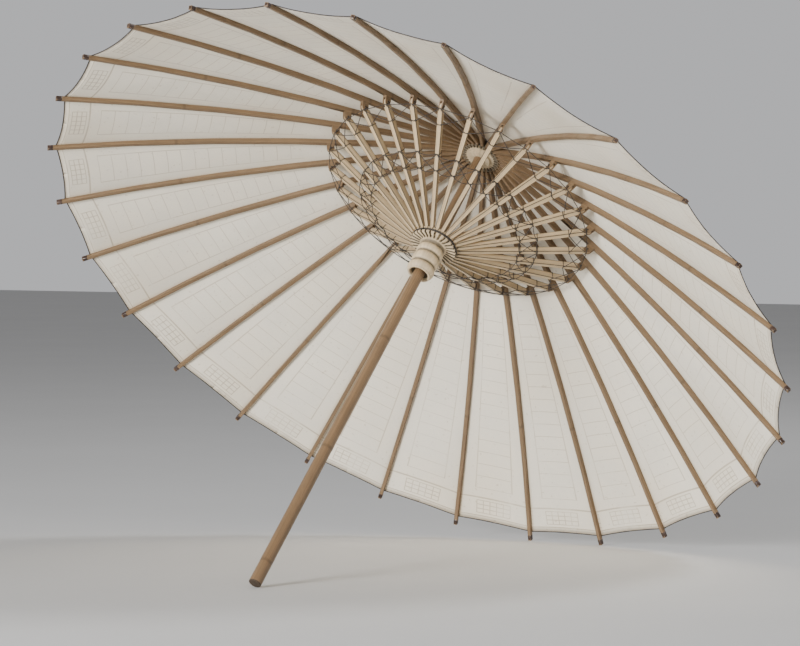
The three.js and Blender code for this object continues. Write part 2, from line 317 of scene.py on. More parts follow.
def bamboo_grain():
    """Fibres along X, slow streaks, and a growth ring at even spaces."""
    name = "Bamboo Grain"
    if name in bpy.data.node_groups:
        return bpy.data.node_groups[name]
    tree, graph, entry, leave = new_group(name, (
        ("Vector", "NodeSocketVector", None),
        ("Fibre Length", "NodeSocketFloat", 12.0),
        ("Fibre Width", "NodeSocketFloat", 1500.0),
        ("Ring Spacing", "NodeSocketFloat", 0.13),
        ("Ring Shift", "NodeSocketFloat", 0.0),
    ), ("Tone", "Ring", "Height"))
    split = graph.node("ShaderNodeSeparateXYZ")
    graph.feed(split.inputs[0], entry["Vector"])
    along, across, out = split.outputs
    stretched = graph.node("ShaderNodeCombineXYZ")
    graph.feed(stretched.inputs[0], graph.math("MULTIPLY", along, entry["Fibre Length"]))
    graph.feed(stretched.inputs[1], graph.math("MULTIPLY", across, entry["Fibre Width"]))
    graph.feed(stretched.inputs[2], graph.math("MULTIPLY", out, entry["Fibre Width"]))
    fibre = graph.noise(stretched.outputs[0], 1.0, 4.0, 0.6)
    streak = graph.noise(stretched.outputs[0], 0.22, 2.0, 0.5)
    shifted = graph.math("ADD", along, entry["Ring Shift"])
    wander = graph.math("MULTIPLY", streak, 4 * MM)
    place = graph.math("ADD", shifted, wander)
    from_ring = graph.math("PINGPONG", place, graph.math("MULTIPLY", entry["Ring Spacing"], 0.5))
    ring = graph.ramp(from_ring, 0.6 * MM, 2.4 * MM, 1.0, 0.0)
    tone = graph.math("ADD", graph.math("MULTIPLY", fibre, 0.6), graph.math("MULTIPLY", streak, 0.4))
    graph.feed(leave["Tone"], graph.ramp(tone, 0.3, 0.7))
    graph.feed(leave["Ring"], ring)
    graph.feed(leave["Height"], graph.math("ADD", fibre, graph.math("MULTIPLY", ring, 0.8)))
    return tree


def hand_wear():
    """Slow stains and fine specks, for anything that has been handled and stored."""
    name = "Hand Wear"
    if name in bpy.data.node_groups:
        return bpy.data.node_groups[name]
    tree, graph, entry, leave = new_group(name, (
        ("Vector", "NodeSocketVector", None),
        ("Stain Scale", "NodeSocketFloat", 25.0),
        ("Speck Scale", "NodeSocketFloat", 700.0),
    ), ("Stain", "Speck"))
    stain = graph.noise(entry["Vector"], entry["Stain Scale"], 4.0, 0.6)
    speck = graph.noise(entry["Vector"], entry["Speck Scale"], 1.0, 0.4)
    graph.feed(leave["Stain"], graph.ramp(stain, 0.35, 0.75))
    graph.feed(leave["Speck"], graph.ramp(speck, 0.68, 0.78))
    return tree


def paper_fibre():
    """Long pulp fibres both ways, and cloudy thick and thin places in the sheet."""
    name = "Paper Fibre"
    if name in bpy.data.node_groups:
        return bpy.data.node_groups[name]
    tree, graph, entry, leave = new_group(name, (
        ("Vector", "NodeSocketVector", None),
        ("Cloud Scale", "NodeSocketFloat", 18.0),
    ), ("Cloud", "Fibre", "Height"))
    cloud = graph.noise(entry["Vector"], entry["Cloud Scale"], 5.0, 0.62)
    strands = []
    for stretch in ((60.0, 900.0, 900.0), (900.0, 60.0, 60.0)):
        strands.append(graph.noise(graph.vector("MULTIPLY", entry["Vector"], stretch), 1.0, 3.0, 0.5))
    both = graph.math("MAXIMUM", *strands)
    graph.feed(leave["Cloud"], graph.ramp(cloud, 0.3, 0.72))
    graph.feed(leave["Fibre"], graph.ramp(both, 0.6, 0.76))
    graph.feed(leave["Height"], graph.math("ADD", both, graph.math("MULTIPLY", cloud, 0.6)))
    return tree


def turning_shade():
    """Painted shade: 1 at the shaded radius round the shaft, falling to 0 at the unshaded one, and only
    above a height.
    """
    name = "Turning Stain"
    if name in bpy.data.node_groups:
        return bpy.data.node_groups[name]
    tree, graph, entry, leave = new_group(name, (
        ("Vector", "NodeSocketVector", None),
        ("Clean Radius", "NodeSocketFloat", 14 * MM),
        ("Stained Radius", "NodeSocketFloat", 12 * MM),
        ("Lowest", "NodeSocketFloat", 0.0),
    ), ("Stain",))
    upright = graph.node("ShaderNodeMapping")
    graph.feed(upright.inputs["Vector"], entry["Vector"])
    upright.inputs["Location"].default_value = TO_UPRIGHT.translation
    upright.inputs["Rotation"].default_value = TO_UPRIGHT.to_euler()
    place = graph.node("ShaderNodeSeparateXYZ")
    graph.feed(place.inputs[0], upright.outputs[0])
    radius = graph.vector("LENGTH", graph.vector("MULTIPLY", upright.outputs[0], (1, 1, 0)))
    painted_shade = graph.ramp(radius, entry["Clean Radius"], entry["Stained Radius"])
    high = graph.math("GREATER_THAN", place.outputs[2], entry["Lowest"])
    graph.feed(leave["Stain"], graph.math("MULTIPLY", painted_shade, high))
    return tree


def placed_group(graph, tree, vector, **values):
    """Places a node group with values of its own; an underscore stands for a space in a socket's name."""
    node = graph.node("ShaderNodeGroup", node_tree=tree)
    graph.feed(node.inputs["Vector"], vector)
    for name, value in values.items():
        node.inputs[name.replace("_", " ")].default_value = value
    return node.outputs


def new_material(name):
    material = bpy.data.materials.new(name)
    material.use_nodes = True
    graph = Graph(material.node_tree)
    return material, graph, material.node_tree.nodes["Principled BSDF"].inputs


def darker(color, factor):
    return tuple(part * factor for part in color)


def shade(color, factor):
    return (*(min(1.0, part * factor) for part in color), 1.0)


def bump(graph, shader, height, strength, distance):
    made = graph.node("ShaderNodeBump")
    made.inputs["Strength"].default_value = strength
    made.inputs["Distance"].default_value = distance
    graph.feed(made.inputs["Height"], height)
    graph.feed(shader["Normal"], made.outputs[0])


def uv_of(graph, layer):
    return graph.node("ShaderNodeUVMap", uv_map=layer).outputs[0]


def bamboo_material(name, color, ring_spacing, ring_shift, gloss, contrast=1.0):
    """Split or round bamboo: fibres along the piece, darker growth rings, stains and specks."""
    if name in bpy.data.materials:
        return bpy.data.materials[name]
    material, graph, shader = new_material(name)
    along = uv_of(graph, "Grain")
    grain = placed_group(graph, bamboo_grain(), along, Ring_Spacing=ring_spacing, Ring_Shift=ring_shift)
    spot = graph.node("ShaderNodeTexCoord").outputs["Object"]
    wear = placed_group(graph, hand_wear(), spot, Stain_Scale=30.0)
    dark = 1.0 - 0.38 * contrast
    light = 1.0 + 0.30 * contrast
    base = graph.blend(grain["Tone"], shade(color, dark), shade(color, light))
    ringed = graph.blend(graph.math("MULTIPLY", grain["Ring"], 0.6), base, shade(color, 0.42))
    stained = graph.blend(graph.math("MULTIPLY", wear["Stain"], 0.32), ringed, shade(color, 0.62))
    specked = graph.blend(graph.math("MULTIPLY", wear["Speck"], 0.5), stained, shade(color, 0.45))
    graph.feed(shader["Base Color"], specked)
    graph.feed(shader["Roughness"], graph.ramp(wear["Stain"], 0.0, 1.0, gloss, gloss + 0.2))
    shader["Coat Weight"].default_value = 0.12
    shader["Coat Roughness"].default_value = 0.35
    bump(graph, shader, grain["Height"], 0.35, 0.25 * MM)
    return material


def turned_material(name, color, gloss, **stain):
    """Turned wood: fine rings round the axis of turning, wear, and painted shade on a rim or in hollows if
    asked for.
    """
    if name in bpy.data.materials:
        return bpy.data.materials[name]
    material, graph, shader = new_material(name)
    along = uv_of(graph, "Grain")
    grain = placed_group(graph, bamboo_grain(), along, Fibre_Length=45.0, Fibre_Width=420.0,
                         Ring_Spacing=9.0, Ring_Shift=3.0)
    spot = graph.node("ShaderNodeTexCoord").outputs["Object"]
    wear = placed_group(graph, hand_wear(), spot, Stain_Scale=55.0, Speck_Scale=900.0)
    base = graph.blend(grain["Tone"], shade(color, 0.72), shade(color, 1.18))
    stained = graph.blend(graph.math("MULTIPLY", wear["Stain"], 0.35), base, shade(color, 0.6))
    final = graph.blend(graph.math("MULTIPLY", wear["Speck"], 0.4), stained, shade(color, 0.4))
    if stain:
        # The turning group paints shade: a dark band on the notch's rim, or the runner's hollows and bore
        # darkened.
        painted_shade = placed_group(graph, turning_shade(), spot, **stain)["Stain"]
        final = graph.blend(graph.math("MULTIPLY", painted_shade, 0.85), final, shade(color, 0.17))
    graph.feed(shader["Base Color"], final)
    graph.feed(shader["Roughness"], graph.ramp(wear["Stain"], 0.0, 1.0, gloss, gloss + 0.22))
    bump(graph, shader, grain["Height"], 0.3, 0.2 * MM)
    return material


def lacquer_material():
    """Dark lacquer, dulled in places and chipped down to the bamboo."""
    name = "Dark lacquer"
    if name in bpy.data.materials:
        return bpy.data.materials[name]
    material, graph, shader = new_material(name)
    color = settings().lacquer_color
    spot = graph.node("ShaderNodeTexCoord").outputs["Object"]
    wear = placed_group(graph, hand_wear(), spot, Stain_Scale=90.0, Speck_Scale=1100.0)
    base = graph.blend(wear["Stain"], shade(color, 0.8), shade(color, 1.9))
    bare = shade(settings().rib_color, 0.9)
    chipped = graph.blend(graph.math("MULTIPLY", wear["Speck"], 0.7), base, bare)
    graph.feed(shader["Base Color"], chipped)
    graph.feed(shader["Roughness"], graph.ramp(wear["Stain"], 0.0, 1.0, 0.2, 0.42))
    bump(graph, shader, wear["Stain"], 0.12, 0.2 * MM)
    return material


def slot_shade():
    """The wood in the slots and on the outer faces, darkened as painted shade."""
    return turned_material("Stained slots", darker(settings().wood_color, 0.2), 0.6)


def stretcher_bamboo():
    return bamboo_material("Stretcher bamboo", settings().stretcher_color, 0.19, 0.02, 0.42)


def thread_material():
    """Waxed twisted thread."""
    name = "Waxed thread"
    if name in bpy.data.materials:
        return bpy.data.materials[name]
    material, graph, shader = new_material(name)
    color = settings().thread_color
    spot = graph.node("ShaderNodeTexCoord").outputs["Object"]
    wear = placed_group(graph, hand_wear(), spot, Stain_Scale=160.0, Speck_Scale=1500.0)
    twist = graph.node("ShaderNodeTexWave", bands_direction="DIAGONAL")
    graph.feed(twist.inputs["Vector"], spot)
    twist.inputs["Scale"].default_value = 420.0
    twist.inputs["Distortion"].default_value = 1.5
    strands = graph.blend(twist.outputs["Fac"], shade(color, 0.6), shade(color, 2.2))
    dusty = graph.blend(graph.math("MULTIPLY", wear["Stain"], 0.35), strands, shade(color, 3.0))
    graph.feed(shader["Base Color"], dusty)
    shader["Roughness"].default_value = 0.62
    bump(graph, shader, twist.outputs["Fac"], 0.5, 0.15 * MM)
    return material


def printed_lines(graph, from_middle, from_edge, share):
    """The faint print on one panel: a line along the border, a small lattice in it, and a long ladder."""
    border_depth, hem_depth = 28 * MM, 5.5 * MM
    cell_width, cell_depth = 4.2 * MM, 2.6 * MM
    lattice_edge, lattice_half_width = 9 * MM, 21.5 * MM
    lattice_middle, lattice_half_depth = 16.8 * MM, 8.1 * MM
    rail_share, rung_gap, first_rung = 0.27, 7.5 * MM, 40 * MM
    ladder_middle, ladder_half_length = 152 * MM, 112.2 * MM
    border = graph.line(graph.math("SUBTRACT", from_edge, border_depth), 1.2 * MM)
    hem = graph.line(graph.math("SUBTRACT", from_edge, hem_depth), 0.7 * MM)
    aside = graph.repeated(graph.math("ADD", from_middle, cell_width), cell_width)
    inward = graph.repeated(graph.math("SUBTRACT", from_edge, lattice_edge), cell_depth)
    cells = graph.math("MAXIMUM", graph.line(aside, 0.75 * MM), graph.line(inward, 0.7 * MM))
    in_width = graph.math("LESS_THAN", graph.math("ABSOLUTE", from_middle), lattice_half_width)
    in_depth = graph.math("COMPARE", from_edge, lattice_middle, lattice_half_depth)
    lattice = graph.math("MULTIPLY", cells, graph.math("MULTIPLY", in_width, in_depth))
    rail = graph.line(graph.math("SUBTRACT", share, rail_share), 0.012)
    from_rung = graph.repeated(graph.math("SUBTRACT", from_edge, first_rung), rung_gap)
    between_rails = graph.math("LESS_THAN", share, rail_share)
    rungs = graph.math("MULTIPLY", graph.line(from_rung, 0.55 * MM), between_rails)
    in_ladder = graph.math("COMPARE", from_edge, ladder_middle, ladder_half_length)
    ladder = graph.math("MULTIPLY", graph.math("MAXIMUM", rail, rungs), in_ladder)
    lines = graph.math("MAXIMUM", graph.math("MAXIMUM", border, hem), lattice)
    return graph.math("MAXIMUM", lines, graph.math("MULTIPLY", ladder, 0.8))


OIL_STAIN = (0.62, 0.50, 0.33, 1.0)
GLUE_STAIN = (0.50, 0.37, 0.22, 1.0)
HEM_STAIN = (0.45, 0.34, 0.21, 1.0)
PULP_SPECK = (0.40, 0.30, 0.18, 1.0)


def paper_material():
    """Oiled paper, printed, darker where it is glued over a rib and along the hem."""
    name = "Oiled paper"
    if name in bpy.data.materials:
        return bpy.data.materials[name]
    material, graph, shader = new_material(name)
    values = settings()
    spot = graph.node("ShaderNodeTexCoord").outputs["Object"]
    place = graph.node("ShaderNodeSeparateXYZ")
    graph.feed(place.inputs[0], uv_of(graph, "Panel"))
    from_middle, from_edge = place.outputs[0], place.outputs[1]
    shares = graph.node("ShaderNodeSeparateXYZ")
    graph.feed(shares.inputs[0], uv_of(graph, "Share"))
    from_rib = graph.math("ABSOLUTE", shares.outputs[0])
    to_middle = graph.math("SUBTRACT", 0.5, from_rib)
    fibre = placed_group(graph, paper_fibre(), spot)
    wear = placed_group(graph, hand_wear(), spot, Stain_Scale=9.0, Speck_Scale=260.0)
    color = values.paper_color
    base = graph.blend(fibre["Cloud"], shade(color, 0.93), shade(color, 1.05))
    fibred = graph.blend(graph.math("MULTIPLY", fibre["Fibre"], 0.35), base, shade(color, 1.18))
    oiled = graph.blend(graph.math("MULTIPLY", wear["Stain"], 0.30), fibred, OIL_STAIN)
    lines = printed_lines(graph, from_middle, from_edge, to_middle)
    broken = graph.ramp(fibre["Cloud"], 0.0, 0.6, 0.45, 1.0)
    printed = graph.blend(graph.math("MULTIPLY", graph.math("MULTIPLY", lines, broken), 0.75),
                          oiled, (*values.print_color, 1.0))
    glued = graph.ramp(from_rib, 0.03, 0.075, 0.34, 0.0)
    over_ribs = graph.blend(glued, printed, GLUE_STAIN)
    hem = graph.ramp(from_edge, 1 * MM, 6 * MM, 0.4, 0.0)
    edged = graph.blend(hem, over_ribs, HEM_STAIN)
    specked = graph.blend(graph.math("MULTIPLY", wear["Speck"], 0.35), edged, PULP_SPECK)
    graph.feed(shader["Base Color"], specked)
    graph.feed(shader["Roughness"], graph.ramp(wear["Stain"], 0.0, 1.0, 0.52, 0.36))
    shader["Sheen Weight"].default_value = 0.05
    bump(graph, shader, fibre["Height"], 0.22, 0.3 * MM)
    return material


def floor_material():
    """A plain pale floor, very slightly mottled."""
    material, graph, shader = new_material("Pale floor")
    spot = graph.node("ShaderNodeTexCoord").outputs["Object"]
    mottle = graph.noise(spot, 3.0, 4.0)
    low, high = (0.68, 0.675, 0.665, 1.0), (0.74, 0.735, 0.725, 1.0)
    graph.feed(shader["Base Color"], graph.blend(mottle, low, high))
    shader["Roughness"].default_value = 0.85
    return material


# ---------------------------------------------------------------- mesh building


def finished(mesh, name, material, smooth_angle=35.0, second=None):
    """Turns a bmesh into a named object; faces marked 1 take the second material."""
    data = bpy.data.meshes.new(name)
    mesh.to_mesh(data)
    mesh.free()
    data.materials.append(material)
    if second:
        data.materials.append(second)
    data.shade_smooth()
    data.set_sharp_from_angle(angle=math.radians(smooth_angle))
    made = bpy.data.objects.new(name, data)
    bpy.context.scene.collection.objects.link(made)
    return made


def deliver(made, body, slot, *nodes):
    """Puts a piece on its body and hides the nodes that it stands for; slot is not used."""
    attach(made, body)
    if nodes:
        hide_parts(*nodes)
    return made


def outwards(mesh):
    """Merges doubled points and turns every face outwards."""
    bmesh.ops.remove_doubles(mesh, verts=mesh.verts, dist=MERGE_DISTANCE)
    bmesh.ops.recalc_face_normals(mesh, faces=mesh.faces)


def grain_map(mesh, local, around=False):
    """Writes the Grain map: metres along the piece's own X, and round or across it."""
    layer = mesh.loops.layers.uv.new("Grain")
    turned_radius = 12 * MM
    for face in mesh.faces:
        for loop in face.loops:
            point = local @ loop.vert.co
            across = math.atan2(point.y, point.z) * turned_radius if around else point.y + point.z
            loop[layer].uv = (point.x, across)


def bevelled_copy(node, bevel, shortest=0.0):
    """A merged copy of a node's mesh, whose sharp edges are rounded where they are longer than shortest; the
    rounded faces are marked 1 for the second material.
    """
    shown = frame["nodes"][node]
    mesh = bmesh.new()
    mesh.from_mesh(shown.data)
    bmesh.ops.transform(mesh, matrix=shown.matrix_world, verts=mesh.verts)
    bmesh.ops.remove_doubles(mesh, verts=mesh.verts, dist=MERGE_DISTANCE)
    bmesh.ops.dissolve_limit(mesh, angle_limit=math.radians(1.0), verts=mesh.verts, edges=mesh.edges)
    sharp = [edge for edge in mesh.edges
             if edge.calc_face_angle(0.0) > math.radians(40) and edge.calc_length() > shortest]
    bevelled = bmesh.ops.bevel(mesh, geom=sharp, offset=bevel, offset_type="OFFSET", segments=2,
                           profile=0.5, affect="EDGES", material=-1, clamp_overlap=True)
    # The rounded faces take the second material; on ribs and stretchers it is painted shade along the edges.
    for face in bevelled["faces"]:
        face.material_index = 1
    return mesh


def shade_slots(mesh, rim):
    """Marks the walls of the slots, and the outer faces past the rim's radius, for the second material,
    which is painted shade.
    """
    facing = 0.8
    for face in mesh.faces:
        middle = TO_UPRIGHT @ face.calc_center_median()
        normal = TO_UPRIGHT.to_3x3() @ face.normal
        outward = Vector((middle.x, middle.y, 0)).normalized()
        wall = abs(normal.dot(outward.cross(Vector((0, 0, 1))))) > facing
        outer = radius_of(middle) > rim and abs(normal.z) < facing
        face.material_index = int(wall or outer)


def spun(profile, steps, height):
    """A profile of radius and height, spun round the shaft at a height; off the axis it is closed first."""
    mesh = bmesh.new()
    verts = [mesh.verts.new((radius, 0, level)) for radius, level in profile]
    edges = [mesh.edges.new(pair) for pair in zip(verts, verts[1:])]
    if profile[0][0] > 0:
        edges.append(mesh.edges.new((verts[-1], verts[0])))
    bmesh.ops.spin(mesh, geom=verts + edges, cent=(0, 0, 0), axis=(0, 0, 1), angle=2 * math.pi,
                   steps=steps, use_merge=True)
    outwards(mesh)
    bmesh.ops.transform(mesh, matrix=UPRIGHT @ Matrix.Translation((0, 0, height)), verts=mesh.verts)
    return mesh


def turned_piece(name, profile, height, steps, material):
    mesh = spun(profile, steps, height)
    grain_map(mesh, TO_TURNED, around=True)
    return finished(mesh, name, material)


def arc(centre_radius, centre_height, size, start, end, points):
    """Points of a round stretch of a profile, angles in degrees from the outward direction."""
    made = []
    for i in range(points):
        angle = math.radians(start + (end - start) * i / (points - 1))
        made.append((centre_radius + size * math.cos(angle), centre_height + size * math.sin(angle)))
    return made


def pivot_thread(name, height):
    """The ring of thread on which a row of bars turns."""
    section = arc(PIVOT_RADIUS, 0, settings().thread_thickness * 0.6, 0, 330, 12)
    return turned_piece(name, section, height, 4 * len(LABELS), thread_material())


def add_tube(mesh, points, thickness, sides=6):
    """A closed tube through the points, made by extruding its end face from each point to the next."""
    direction = (points[1] - points[0]).normalized()
    facing = Matrix.Translation(points[0]) @ direction.to_track_quat("Z", "Y").to_matrix().to_4x4()
    start = bmesh.ops.create_circle(mesh, cap_ends=True, segments=sides, radius=thickness / 2,
                                    matrix=facing)
    face = start["verts"][0].link_faces[0]
    for here, there in zip(points, points[1:]):
        grown = bmesh.ops.extrude_face_region(mesh, geom=[face])["geom"]
        ring = [item for item in grown if isinstance(item, bmesh.types.BMVert)]
        face = next(item for item in grown if isinstance(item, bmesh.types.BMFace))
        bmesh.ops.translate(mesh, verts=ring, vec=there - here)


def tubes(name, paths, thickness, material, sides=6):
    mesh = bmesh.new()
    for path in paths:
        add_tube(mesh, [UPRIGHT @ point for point in path], thickness, sides)
    bmesh.ops.recalc_face_normals(mesh, faces=mesh.faces)
    return finished(mesh, name, material, 60.0)


def folded_share(x):
    """The folded umbrella's radius as a share of the open one's, at a place along the ribs."""
    folded = PIVOT_RADIUS + x * math.sin(OPEN_ANGLE - SWING)
    return folded / (PIVOT_RADIUS + x * math.sin(OPEN_ANGLE))


def fold_flat(made):
    """Gives a piece its own copy of its mesh."""
    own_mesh(made)


# ---------------------------------------------------------------- operators


class UMBRELLA_OT_stage(bpy.types.Operator):
    """Floor, soft lights and the camera"""
    bl_idname = "umbrella.stage"
    bl_label = "Stage"

    def execute(self, context):
        mesh = bmesh.new()
        bmesh.ops.create_grid(mesh, x_segments=4, y_segments=4, size=9.0)
        floor = finished(mesh, "floor", floor_material())
        self.light("key_light", (-0.3, -3.4, 0.75), size=1.2, power=170.0)
        self.light("fill_light", (3.0, -1.6, 0.9), size=2.4, power=10.0)
        self.light("back_light", (1.9, 1.9, 3.1), size=1.3, power=60.0)
        self.surroundings(context)
        self.camera(context)
        return {"FINISHED"}

    def surroundings(self, context):
        """Soft light from all round, brighter low down than overhead."""
        world = bpy.data.worlds.new("Studio")
        world.use_nodes = True
        graph = Graph(world.node_tree)
        split = graph.node("ShaderNodeSeparateXYZ")
        graph.feed(split.inputs[0], graph.node("ShaderNodeTexCoord").outputs["Generated"])
        sky = world.node_tree.nodes["Background"].inputs
        sky["Color"].default_value = (0.97, 0.975, 1.0, 1.0)
        graph.feed(sky["Strength"], graph.ramp(split.outputs[2], 0.1, 0.8, 0.55, 0.2))
        context.scene.world = world

    def light(self, name, place, size, power):
        data = bpy.data.lights.new(name, "AREA")
        data.shape = "DISK"
        data.size = size
        data.energy = power
        lamp = bpy.data.objects.new(name, data)
        lamp.location = place
        target = (CAD_BOX[0] + CAD_BOX[1]) / 2
        lamp.rotation_euler = (target - lamp.location).to_track_quat("-Z", "Y").to_euler()
        bpy.context.scene.collection.objects.link(lamp)

    def camera(self, context):
        """A long lens, low down, looking up under the canopy from beside the foot."""
        turn, lift = math.radians(35.35), math.radians(1.89)
        distance, focal_length = 3.6776, 157.5
        middle_height, aside, below = 290 * MM, 9.5 * MM, 34.3 * MM
        level = math.cos(lift)
        away = Vector((math.sin(turn) * level, -math.cos(turn) * level, math.sin(lift)))
        right = Vector((math.cos(turn), math.sin(turn), 0))
        up = right.cross(-away)
        aim = Vector((0, 0, middle_height)) - right * aside - up * below
        data = bpy.data.cameras.new("camera")
        data.sensor_width = 36.0
        data.lens = focal_length
        data.clip_end = 60.0
        eye = bpy.data.objects.new("camera", data)
        eye.location = aim + away * distance
        eye.rotation_euler = (-away).to_track_quat("-Z", "Y").to_euler()
        context.scene.collection.objects.link(eye)
        context.scene.camera = eye


class UMBRELLA_OT_shaft(bpy.types.Operator):
    """The bamboo shaft, with its low growth rings"""
    bl_idname = "umbrella.shaft"
    bl_label = "Shaft"

    def execute(self, context):
        foot_radius = max(radius_of(TO_UPRIGHT @ p) for p in node_points("shaft"))
        top_radius = foot_radius * 0.85
        edge, steps = 1.35 * MM, 120
        ring_gap, ring_shift = 148 * MM, 45 * MM
        ring_height, ring_width = 0.34 * MM, 2.2 * MM
        groove_depth, groove_width, groove_offset = 0.22 * MM, 1.2 * MM, 3.2 * MM
        profile = [(0, 0), (foot_radius - edge, 0)]
        profile += arc(foot_radius - edge, edge, edge, -90, 0, 5)[1:]
        for i in range(1, steps):
            level = edge + (SHAFT_LENGTH - 2 * edge) * i / steps
            from_ring = (level + ring_shift) % ring_gap - ring_gap / 2
            ring = math.exp(-(from_ring / ring_width) ** 2)
            groove = math.exp(-((from_ring + groove_offset) / groove_width) ** 2)
            radius = foot_radius + (top_radius - foot_radius) * level / SHAFT_LENGTH
            profile.append((radius + ring_height * ring - groove_depth * groove, level))
        profile += [(top_radius - edge, SHAFT_LENGTH), (0, SHAFT_LENGTH)]
        color = settings().shaft_color
        material = bamboo_material("Smoked bamboo", color, ring_gap, ring_shift - ring_gap / 2, 0.3)
        made = turned_piece("shaft_stick", profile, 0, 48, material)
        made.data.materials.append(bamboo_material("Cut end", darker(color, 0.25), ring_gap, 0.0, 0.7))
        foot_cut, top_cut = 1.1 * MM, 0.5 * MM
        for face in made.data.polygons:
            height = (TO_UPRIGHT @ face.center).z
            face.material_index = int(not foot_cut < height < SHAFT_LENGTH - top_cut)
        deliver(made, "root", "shaft_bamboo", "shaft")
        return {"FINISHED"}


class UMBRELLA_OT_notch(bpy.types.Operator):
    """The upper notch and the thread that holds the ribs in it"""
    bl_idname = "umbrella.notch"
    bl_label = "Upper notch"

    def execute(self, context):
        rim = max(radius_of(TO_UPRIGHT @ p) for p in node_points("upper_notch"))
        wood = darker(settings().wood_color, 0.85)
        # Painted shade: a dark band round the notch's rim, and darker slot walls and outer faces.
        material = turned_material("Notch wood", wood, 0.5, Clean_Radius=rim - 5.4 * MM,
                                   Stained_Radius=rim - 3.8 * MM)
        mesh = bevelled_copy("upper_notch", TURNED_BEVEL)
        shade_slots(mesh, rim - 0.6 * MM)
        grain_map(mesh, TO_TURNED, around=True)
        made = finished(mesh, "notch_crown", material, second=slot_shade())
        deliver(made, "root", "notch_wood", "upper_notch")
        deliver(pivot_thread("notch_thread", NOTCH_HEIGHT), "root", "thread")
        return {"FINISHED"}


class UMBRELLA_OT_runner(bpy.types.Operator):
    """The runner: its slotted flange, its ringed collar and the thread round it"""
    bl_idname = "umbrella.runner"
    bl_label = "Runner"
    waist = 12.3 * MM

    def execute(self, context):
        points = [TO_UPRIGHT @ p for p in node_points("runner")]
        flange_radius = max(radius_of(p) for p in points)
        flange_bottom = min(p.z for p in points if radius_of(p) > flange_radius - MM)
        collar_bottom = min(p.z for p in points)
        # Painted shade: the runner's hollows between the rings and its bore are darkened, except within 3 mm
        # of the collar's bottom.
        material = turned_material("Pale turned wood", settings().wood_color, 0.42,
                                   Clean_Radius=self.waist + 1.7 * MM, Stained_Radius=self.waist + 0.1 * MM,
                                   Lowest=collar_bottom + 3 * MM)
        mesh = bevelled_copy("runner", TURNED_BEVEL)
        under_flange = UPRIGHT @ Vector((0, 0, flange_bottom - 0.2 * MM))
        geometry = [*mesh.verts, *mesh.edges, *mesh.faces]
        bmesh.ops.bisect_plane(mesh, geom=geometry, dist=1e-6, plane_co=under_flange,
                               plane_no=UP_THE_SHAFT, clear_inner=True)
        bmesh.ops.bridge_loops(mesh, edges=[edge for edge in mesh.edges if edge.is_boundary])
        bmesh.ops.recalc_face_normals(mesh, faces=mesh.faces)
        # Painted shade: the slot walls and the flange's edge under the thread take the darker second
        # material.
        shade_slots(mesh, flange_radius)
        grain_map(mesh, TO_TURNED, around=True)
        flange = finished(mesh, "runner_flange", material, second=slot_shade())
        deliver(flange, "runner", "turned_wood", "runner")
        self.collar(flange_bottom, collar_bottom, material)
        self.threads(flange_radius, flange_bottom)
        return {"FINISHED"}

    def collar(self, top, bottom, material):
        """The collar below the flange: a mouth with a round lip, then three swelling rings."""
        length = top - bottom
        bore, throat, mouth, lip = 7.5 * MM, 8.2 * MM, 10.2 * MM, 1.5 * MM
        waist, ring, ring_steps = self.waist, 14.9 * MM, 13
        profile = [(bore, top), (bore, bottom + 11 * MM), (throat, bottom + 6.5 * MM)]
        profile += arc(mouth + lip, bottom + lip, lip, 180, 360, 9)
        for share, half in ((0.16, 0.12), (0.47, 0.15), (0.78, 0.12)):
            for i in range(ring_steps):
                along = 2 * i / (ring_steps - 1) - 1
                swell = (1 - along * along) ** 0.6
                profile.append((waist + (ring - waist) * swell, bottom + length * (share + half * along)))
        profile += [(waist, top - 1.2 * MM), (waist + 0.8 * MM, top)]
        made = turned_piece("runner_collar", profile, 0, 72, material)
        deliver(made, "runner", "turned_wood", "runner")

    def threads(self, flange_radius, flange_bottom):
        """The thread that the stretchers turn on, and the turns wound round the flange's edge."""
        deliver(pivot_thread("runner_pivot_thread", RUNNER_HEIGHT), "runner", "thread")
        thread = settings().thread_thickness
        turns, steps = 3, 84
        path = []
        for i in range(turns * steps + 1):
            level = flange_bottom + 1.6 * MM + thread * 1.1 * i / steps
            path.append(polar(i / steps * 2 * math.pi, flange_radius + thread * 0.38, level))
        wound = tubes("runner_edge_thread", [path], thread, thread_material())
        deliver(wound, "runner", "thread")


